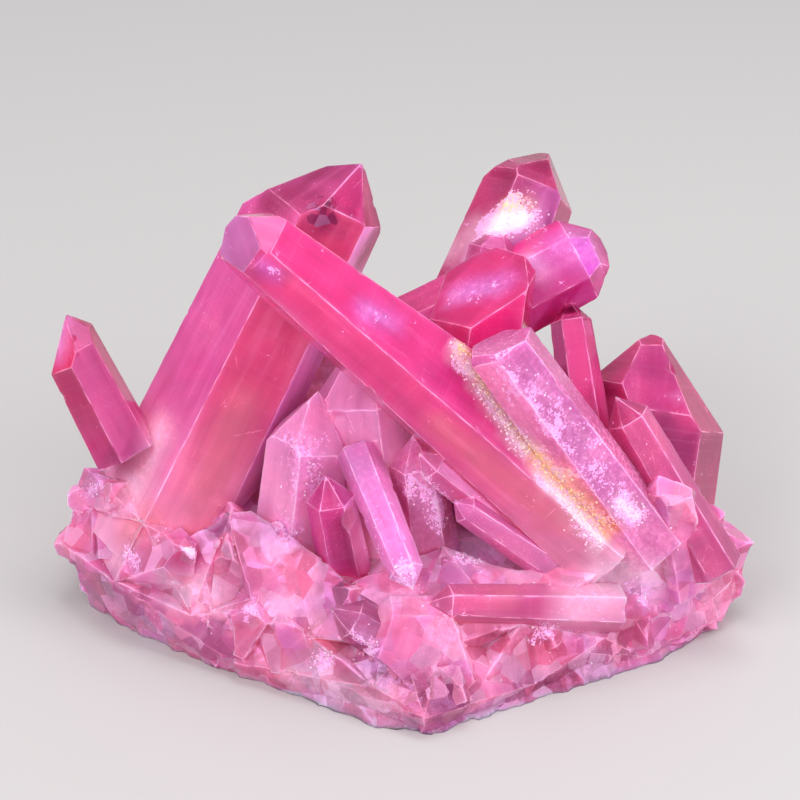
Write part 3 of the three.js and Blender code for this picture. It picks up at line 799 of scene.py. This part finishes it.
class Graph:  # makes nodes in one tree
    def __init__(self, tree):
        self.tree = tree
        tree.nodes.clear()

    def node(self, kind, settings=None, sockets=None):
        made = self.tree.nodes.new(kind)
        for name, setting in (settings or {}).items():
            setattr(made, name, setting)
        for name, value in (sockets or {}).items():
            self.feed(made.inputs[name], value)
        return made

    def feed(self, socket, value):
        if isinstance(value, Wire):
            value = value.socket
        if isinstance(value, bpy.types.NodeSocket):
            self.tree.links.new(value, socket)
        elif socket.type == "RGBA" and len(value) == 3:
            socket.default_value = (*value, 1)
        elif socket.type == "VECTOR" and not hasattr(value, "__len__"):
            socket.default_value = (value, value, value)
        else:
            socket.default_value = value

    def attribute(self, name, output="Fac"):
        return Wire(self, self.node("ShaderNodeAttribute", {"attribute_name": name}).outputs[output])

    def blend(self, factor, a, b):
        made = self.node("ShaderNodeMix", {"data_type": "RGBA"}, {0: factor, 6: a, 7: b})
        return Wire(self, made.outputs[2])

    def noise(self, place, scale, detail=2, rough=0.5, flat=False):
        made = self.node("ShaderNodeTexNoise", {"noise_dimensions": "2D" if flat else "3D"}, {
            "Vector": place, "Scale": scale, "Detail": detail, "Roughness": rough})
        return Wire(self, made.outputs["Fac"])

    def lines(self, distance, scale):  # noise along one number, such as growth lines
        made = self.node("ShaderNodeTexNoise", {"noise_dimensions": "1D"}, {"W": distance, "Scale": scale})
        return Wire(self, made.outputs["Fac"])

    def cells(self, place, scale, feature="F1", output="Color"):  # a random colour for each cell of a face
        made = self.node("ShaderNodeTexVoronoi", {"voronoi_dimensions": "2D", "feature": feature}, {
            "Vector": place, "Scale": scale})
        return Wire(self, made.outputs[output])

    def cracks(self, place, scale):  # distance to the nearest line of a crazed pattern
        return self.cells(place, scale, "DISTANCE_TO_EDGE", "Distance")

    def part(self, colourWire, number):
        return Wire(self, self.node("ShaderNodeSeparateXYZ", {}, {0: colourWire}).outputs[number])


class Wire:  # one number, vector or colour on its way through a tree
    def __init__(self, graph, socket):
        self.graph, self.socket = graph, socket

    def math(self, operation, *others, clamp=False):
        inputs = dict(enumerate((self, *others)))
        if any(isinstance(v, Wire) and v.socket.type != "VALUE" for v in inputs.values()):
            made = self.graph.node("ShaderNodeVectorMath", {"operation": operation}, inputs)
        else:
            made = self.graph.node("ShaderNodeMath", {"operation": operation, "use_clamp": clamp}, inputs)
        return Wire(self.graph, made.outputs[0])

    def __add__(self, other):
        return self.math("ADD", other)

    def __mul__(self, other):
        return self.math("MULTIPLY", other)

    def __sub__(self, other):
        return self.math("SUBTRACT", other)

    def __rsub__(self, other):
        return (self * -1) + other

    def __neg__(self):
        return self * -1

    __radd__ = __add__
    __rmul__ = __mul__

    def clamped(self):
        return self.math("ADD", 0.0, clamp=True)

    def between(self, low, high):  # 0 below low, 1 above high
        made = self.graph.node("ShaderNodeMapRange", {"interpolation_type": "SMOOTHSTEP"},
                               {"Value": self, "From Min": low, "From Max": high})
        return Wire(self.graph, made.outputs["Result"])


def newMaterial(name):
    made = bpy.data.materials.new(name)
    made.use_nodes = True
    return made, Graph(made.node_tree)


# the coated quartz: clear and cloudy quartz mixed by how milky each place is
quartz = {
    "refraction": 1.544,
    "milkyRefraction": 1.62,
    "absorption": (1.0, 0.30, 0.80),
    "absorptionDensity": 80.0,
    "reflection": 0.34,
    "sheen": (0.92, 0.46, 1.0),  # the coating's violet reflection
    "scatterDepth": 0.003,  # m
    "scatterTint": (1.0, 0.55, 0.75),
    "reliefStrength": 0.40,
    "reliefHeight": 0.00016,  # m
    "clearTakes": 0.88,  # of the coating's tint, in the clear quartz
    "growthPerMm": 1.6,  # lines on a mm along the crystal; the other markings are counted on a metre
    "clouds": 130, "streaks": 620, "wisps": 420, "grain": 1500, "specks": 6500, "veins": 300,
    "grains": 5600,  # of sugar
    "chunks": 430,  # small broken faces of the bed
    "pieces": 900,  # and of the painted dark windows in the crystals
}


def quartzMarks(g):  # what is painted on the corners, and the patterns that it steers
    m = SimpleNamespace(tint=g.attribute("tint", "Color"))
    for name in (*paintedNumbers, "bed", "gap", "fold"):
        setattr(m, name, g.attribute(name))
    place = Wire(g, g.node("ShaderNodeTexCoord").outputs["Object"])
    flat = g.attribute("flat", "Vector")
    m.grains, m.chunks, m.pieces = (g.cells(flat, quartz[name]) for name in ("grains", "chunks", "pieces"))

    m.cloud = g.noise(place, quartz["clouds"], 2, 0.55)
    m.grain = g.noise(flat, quartz["grain"], 2, 0.6, flat=True)
    m.wisp = g.noise(flat, quartz["wisps"], 1, flat=True)
    m.streak = g.noise(flat * (1, 0.10, 1), quartz["streaks"], flat=True)
    m.growth = g.lines(m.along + m.tone * 40, quartz["growthPerMm"])
    fineGrain = g.noise(flat, quartz["specks"], 0, flat=True)
    m.speck = fineGrain.between(0.80, 0.88) * m.cloud.between(0.48, 0.62)
    m.dirt = (1 - fineGrain.between(0.10, 0.15)) * m.bed
    crazing = 1 - g.cracks(flat * (1, 0.45, 1), quartz["veins"]).between(0.003, 0.02)
    m.veins = crazing * m.wisp.between(0.60, 0.74) * (1 - m.gold)
    m.light = g.part(m.tint, 1).between(0.0, 0.10)  # dark faces take less of the pale markings

    # pale lines along the edges: partly worn, chipped edges and partly a painted edge highlight
    m.edge = (1 - m.gap.between(0.02, 0.14)) * m.wisp.between(0.34, 0.62)
    rim = 1 - m.gap.between(0.1, 0.8)
    m.pale = (m.edge * (0.46 - m.bed * 0.30) + rim * 0.06 + m.speck * (0.12 + m.bed * 0.3)).clamped()
    m.crust = (m.frost * 1.3 + (m.cloud - 0.5) * 0.9 + (m.grain - 0.5) * 1.1 - 0.35).clamped()
    m.sugar = (m.glitter * 1.7 + (g.part(m.grains, 0) - 0.5) * 0.5 + (m.wisp - 0.5) * 1.6
               + (m.grain - 0.5) * 0.9 - 0.66).between(0.0, 0.2)
    # painted dark windows: dark pieces inside the tips, a painted shade for the dark surroundings seen
    # through them
    m.inner = ((m.broken - m.bed) * (0.45 + g.part(m.pieces, 1))).between(0.62, 0.66)
    return m


def sparkleColour(g, m):  # of the sugar: pale, brighter where it is thick, painted gold sheen or pink grain by grain
    sparkle = g.blend(m.glitter.between(0.55, 0.95), colour("#e6b2e4"), colour("#f8e6f4"))
    sparkle = g.blend(m.gold * g.part(m.grains, 1).between(0.30, 0.50), sparkle, colour("#fcd06c"))
    pink = g.part(m.grains, 2).between(0.60, 0.8) * (0.6 - m.gold * 0.45 - m.smooth * 0.5)
    return g.blend(pink, sparkle, colour("#e480c4"))


def quartzColour(g, m):  # the painted tint under one layer of marking after another
    # dark and red pieces of the painted dark windows
    darkWindowColour = g.blend(g.part(m.pieces, 0).between(0.3, 0.4), colour("#741c5c"), colour("#b82850"))
    layers = (
        (m.tone * 0.12, colour("#e03a8c")),
        (m.cloud.between(0.50, 0.78) * 0.18 * m.light, colour("#f68c94")),
        (m.streak.between(0.56, 0.76) * 0.12 * m.light, colour("#f8b0d4")),
        ((1 - m.streak.between(0.24, 0.42)) * 0.14, colour("#d83488")),
        (m.growth.between(0.55, 0.72) * 0.05, colour("#f4a8cc")),
        (m.inner * 0.62, darkWindowColour),
        (m.inner * g.part(m.pieces, 2).between(0.70, 0.74) * 0.6, colour("#e0a0d8")),
        (g.part(m.chunks, 0).between(0.60, 0.66) * m.bed * 0.33, colour("#ecbce0")),
        (g.part(m.chunks, 1).between(0.64, 0.70) * m.bed * 0.33, colour("#dc6088")),
        (m.crust * g.part(m.grains, 0).between(0.15, 0.75) * (0.55 - m.gold * 0.5), colour("#eaaae0")),
        (m.sugar * 0.88, sparkleColour(g, m)),
        # pale edge lines (partly a painted edge highlight), specks and veins
        ((m.pale + m.veins * 0.18).clamped(), colour("#f8c4e0")),
        (m.dirt * 0.7, colour("#7c3858")),
    )
    base = m.tint
    for share, layer in layers:
        base = g.blend(share, base, layer)
    return base


def pinkQuartz():
    made, g = newMaterial("pinkQuartz")
    m = quartzMarks(g)
    base = quartzColour(g, m)
    rough = (0.09 + m.crust * 0.26 + m.sugar * 0.2 + m.edge * 0.2 + m.milk * 0.14 + (m.grain - 0.5) * 0.08
             - m.bed * 0.08).clamped()
    facing = Wire(g, g.node("ShaderNodeNewGeometry").outputs["Normal"])
    leaning = (facing + (m.grains - 0.5) * (m.crust * 0.24 + m.sugar * (0.7 - m.smooth * 0.4))
               + (m.chunks - 0.5) * (m.broken * 0.32)).math("NORMALIZE")
    bump = g.node("ShaderNodeBump", {}, {
        "Strength": quartz["reliefStrength"], "Distance": quartz["reliefHeight"],
        "Height": m.grain * (m.frost * 0.4 + 0.10) + m.growth * 0.06, "Normal": leaning})
    coat = {"Specular IOR Level": quartz["reflection"], "Specular Tint": quartz["sheen"],
            "Normal": bump.outputs[0]}
    clear = g.node("ShaderNodeBsdfPrincipled", {}, {
        "Base Color": g.blend(quartz["clearTakes"], (1, 1, 1), base), "Roughness": rough * 0.7,
        "IOR": quartz["refraction"], "Transmission Weight": 1.0, **coat})
    milky = g.node("ShaderNodeBsdfPrincipled", {}, {
        "Base Color": base, "Roughness": rough, "IOR": quartz["milkyRefraction"], "Subsurface Weight": 1.0,
        "Subsurface Radius": quartz["scatterTint"], "Subsurface Scale": quartz["scatterDepth"], **coat})
    share = (m.milk + (m.cloud - 0.5) * 0.55 + (m.streak - 0.5) * 0.22 + m.crust * 0.30 + m.sugar * 0.5
             + m.edge * 0.35 + m.fold * 0.15 + m.speck + m.veins * 0.15
             + (g.part(m.chunks, 2) - 0.5) * m.broken * 0.2).clamped()
    surface = g.node("ShaderNodeMixShader", {}, {0: share, 1: clear.outputs[0], 2: milky.outputs[0]})
    inside = g.node("ShaderNodeVolumeAbsorption", {}, {
        "Color": quartz["absorption"], "Density": quartz["absorptionDensity"]})
    g.node("ShaderNodeOutputMaterial", {}, {"Surface": surface.outputs[0], "Volume": inside.outputs[0]})
    return made


mesh.materials.append(pinkQuartz())
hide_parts("crystal_cluster")
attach(cluster, "root")
print("quartz made")


# sugar of tiny crystals standing on the rough places and in the folds of the bed
sugar = {
    "perArea": 8e6,  # grains on a square metre that is fully covered
    "smallest": 0.06,  # mm, radius of a grain
    "largest": 0.19,
    "height": 1.1,  # in radii
    "tilt": 0.45,  # radians to either side of the face's normal
    "sunk": 0.06,  # mm below the surface
    "clump": 1.6,  # mm across the places with more or fewer grains
    "clumpSway": 0.5,  # how much they add to or take from the cover
    "gain": 1.6,  # how fast the cover rises with the glitter
    "glitterLeast": 0.28,  # where it would start without the clumps
    "bare": 0.1,  # glitter below which there are no grains
    "foldCover": 0.06,
    "foldClump": 0.05,  # least of a clump that shows in a fold
    "aboveFoot": 1,  # mm, no grains lower down
    "smoothSpares": 0.8,  # of the cover where the crust is smooth
    "seed": 4,
}


def sugarCover():  # 0 to 1 at each corner
    glitter, smooth = paint.glitter.ravel(), paint.smooth.ravel()
    clump = np.array([noiseAt(p, sugar["clump"], 40) for p in fine])[cornerPoint]
    rough = sugar["gain"] * (glitter - sugar["glitterLeast"]) + sugar["clumpSway"] * clump
    rough = np.clip(rough, 0, 1) * (glitter > sugar["bare"])
    folds = sugar["foldCover"] * fold[cornerPoint] * cornerOnBed * (clump > sugar["foldClump"])
    cover = np.maximum(rough * (1 - sugar["smoothSpares"] * smooth), folds)
    return np.where(cornerPlace[:, 2] > sugar["aboveFoot"], cover, 0)


def sugarTree(inputs):
    tree = bpy.data.node_groups.new("sugarOfCrystals", "GeometryNodeTree")
    for name, kind in (("Surface", "Geometry"), *((name, kind) for name, kind, _ in inputs)):
        tree.interface.new_socket(name, in_out="INPUT", socket_type="NodeSocket" + kind)
    tree.interface.new_socket("Grains", in_out="OUTPUT", socket_type="NodeSocketGeometry")
    g = Graph(tree)
    given = g.node("NodeGroupInput").outputs

    def draw(low, high, seed):
        made = g.node("FunctionNodeRandomValue", {"data_type": "FLOAT"}, {2: low, 3: high, "Seed": seed})
        return made.outputs[1]

    cover = g.node("GeometryNodeInputNamedAttribute", {"data_type": "FLOAT"}, {"Name": "cover"})
    density = Wire(g, cover.outputs["Attribute"]) * Wire(g, given["Per Area"])
    scattered = g.node("GeometryNodeDistributePointsOnFaces", {}, {
        "Mesh": given["Surface"], "Density": density, "Seed": given["Seed"]})
    marked = g.node("GeometryNodeStoreNamedAttribute", {"data_type": "FLOAT", "domain": "POINT"}, {
        "Geometry": scattered.outputs["Points"], "Name": "draw", "Value": draw(0.0, 1.0, given["Seed"])})
    grain = g.node("GeometryNodeMeshCone", {"fill_type": "NGON"}, {
        "Vertices": 6, "Radius Top": 0.0, "Radius Bottom": 1.0, "Depth": given["Height"]})
    tilt = Wire(g, given["Tilt"])
    turn = g.node("ShaderNodeCombineXYZ", {}, {
        0: draw(-tilt, tilt, 11), 1: draw(-tilt, tilt, 12), 2: draw(0.0, 6.283, 13)})
    asTurn = g.node("FunctionNodeEulerToRotation", {}, {0: turn.outputs[0]})
    turned = g.node("FunctionNodeRotateRotation", {"rotation_space": "LOCAL"}, {
        "Rotation": scattered.outputs["Rotation"], "Rotate By": asTurn.outputs[0]})
    standing = g.node("GeometryNodeInstanceOnPoints", {}, {
        "Points": marked.outputs[0], "Instance": grain.outputs["Mesh"], "Rotation": turned.outputs[0],
        "Scale": draw(given["Smallest"], given["Largest"], 17)})
    down = g.node("ShaderNodeCombineXYZ", {}, {2: -Wire(g, given["Sunk"])})
    sunk = g.node("GeometryNodeTranslateInstances", {}, {
        "Instances": standing.outputs[0], "Translation": down.outputs[0]})
    solid = g.node("GeometryNodeRealizeInstances", {}, {"Geometry": sunk.outputs[0]})
    coated = g.node("GeometryNodeSetMaterial", {}, {
        "Geometry": solid.outputs[0], "Material": given["Material"]})
    g.node("NodeGroupOutput", {}, {"Grains": coated.outputs[0]})
    return tree


def sugarQuartz():
    made, g = newMaterial("sugarQuartz")
    draw, gold = g.attribute("draw"), g.attribute("gold")
    base = g.blend(0.28 + draw * 0.5, g.attribute("tint", "Color"), colour("#f6e4fa"))
    # painted gold sheen on some grains
    base = g.blend(gold * draw.between(0.40, 0.50), base, colour("#ffdc88"))
    surface = g.node("ShaderNodeBsdfPrincipled", {}, {
        "Base Color": base, "Roughness": 0.12 + draw * 0.2, "IOR": quartz["refraction"],
        "Specular Tint": quartz["sheen"]})
    g.node("ShaderNodeOutputMaterial", {}, {"Surface": surface.outputs[0]})
    return made


def sugarGrains():
    ground = mesh.copy()
    storeCorners(ground, "cover", sugarCover())
    source = placed("sugarGround", ground)
    inputs = (("Per Area", "Float", sugar["perArea"]), ("Smallest", "Float", sugar["smallest"] * mm),
              ("Largest", "Float", sugar["largest"] * mm), ("Height", "Float", sugar["height"]),
              ("Tilt", "Float", sugar["tilt"]), ("Sunk", "Float", sugar["sunk"] * mm),
              ("Seed", "Int", sugar["seed"]), ("Material", "Material", sugarQuartz()))
    tree = sugarTree(inputs)
    modifier = source.modifiers.new("sugar", "NODES")
    modifier.node_group = tree
    identifiers = {item.name: item.identifier for item in tree.interface.items_tree}
    for name, _, value in inputs:
        modifier[identifiers[name]] = value
    made = bpy.data.meshes.new_from_object(source.evaluated_get(bpy.context.evaluated_depsgraph_get()))
    bpy.data.objects.remove(source)
    grains = placed("sugarGrains", made)
    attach(grains, "root")
    print("sugar faces", len(made.polygons))


sugarGrains()


# a pale floor and soft boxes of light
studio = {
    "floorHalf": 3.0,  # m
    "floorTint": (0.47, 0.457, 0.457),
    "sky": (0.995, 0.985, 1), "skyStrength": 0.68,
    "aim": (0, 0, 0.025),
    "boxes": {  # place, width and height in m, watts
        "keyBox": ((-0.31, -0.35, 0.42), (0.30, 0.30), 1.9),
        "fillBox": ((0.20, -0.48, 0.32), (0.50, 0.40), 0.88),
        "topBox": ((0.04, 0.06, 0.50), (0.35, 0.16), 1.0),
        "sideBox": ((0.40, -0.16, 0.20), (0.24, 0.30), 1.0),
    },
}
view = {
    "lens": 110, "sensor": 36,  # mm
    "distance": 0.284,  # m
    "down": 30,  # degrees
    "aimHeight": 30,  # mm
}


def softbox(name, place, size, power):
    data = bpy.data.lights.new(name, "AREA")
    data.shape, data.size, data.size_y = "RECTANGLE", size[0], size[1]
    data.energy = power
    lamp = placed(name, data)
    lamp.location = place
    lamp.rotation_euler = (Vector(studio["aim"]) - Vector(place)).to_track_quat("-Z", "Y").to_euler()


def floor():
    made, g = newMaterial("paleFloor")
    place = Wire(g, g.node("ShaderNodeTexCoord").outputs["Object"])
    surface = g.node("ShaderNodeBsdfPrincipled", {}, {
        "Base Color": studio["floorTint"], "Roughness": 0.6 + g.noise(place, 30) * 0.1})
    g.node("ShaderNodeOutputMaterial", {}, {"Surface": surface.outputs[0]})
    data = bpy.data.meshes.new("floor")
    half = studio["floorHalf"]
    corners = [(-half, -half, 0), (half, -half, 0), (half, half, 0), (-half, half, 0)]
    data.from_pydata(corners, [], [range(4)])
    data.materials.append(made)
    obj = placed("floor", data)


def paleSky():
    world = bpy.data.worlds.new("studio")
    bpy.context.scene.world = world
    world.use_nodes = True
    g = Graph(world.node_tree)
    sky = g.node("ShaderNodeBackground", {}, {"Color": studio["sky"], "Strength": studio["skyStrength"]})
    g.node("ShaderNodeOutputWorld", {}, {"Surface": sky.outputs[0]})


def lookingDown():
    camera = placed("camera", bpy.data.cameras.new("camera"))
    camera.data.lens, camera.data.sensor_width = view["lens"], view["sensor"]
    camera.data.clip_start = 0.01
    target = Vector((layoutToFrame[0], layoutToFrame[1], view["aimHeight"])) * mm
    down = math.radians(view["down"])
    camera.location = target + Vector((0, -math.cos(down), math.sin(down))) * view["distance"]
    camera.rotation_euler = (target - camera.location).to_track_quat("-Z", "Y").to_euler()
    bpy.context.scene.camera = camera


floor()
for name, box in studio["boxes"].items():
    softbox(name, *box)
paleSky()
lookingDown()

render = bpy.context.scene
render.view_settings.view_transform = "Standard"
render.cycles.use_denoising = True
render.cycles.max_bounces = 8
render.cycles.transmission_bounces = 8
render.cycles.sample_clamp_indirect = 6

print("scene ready")
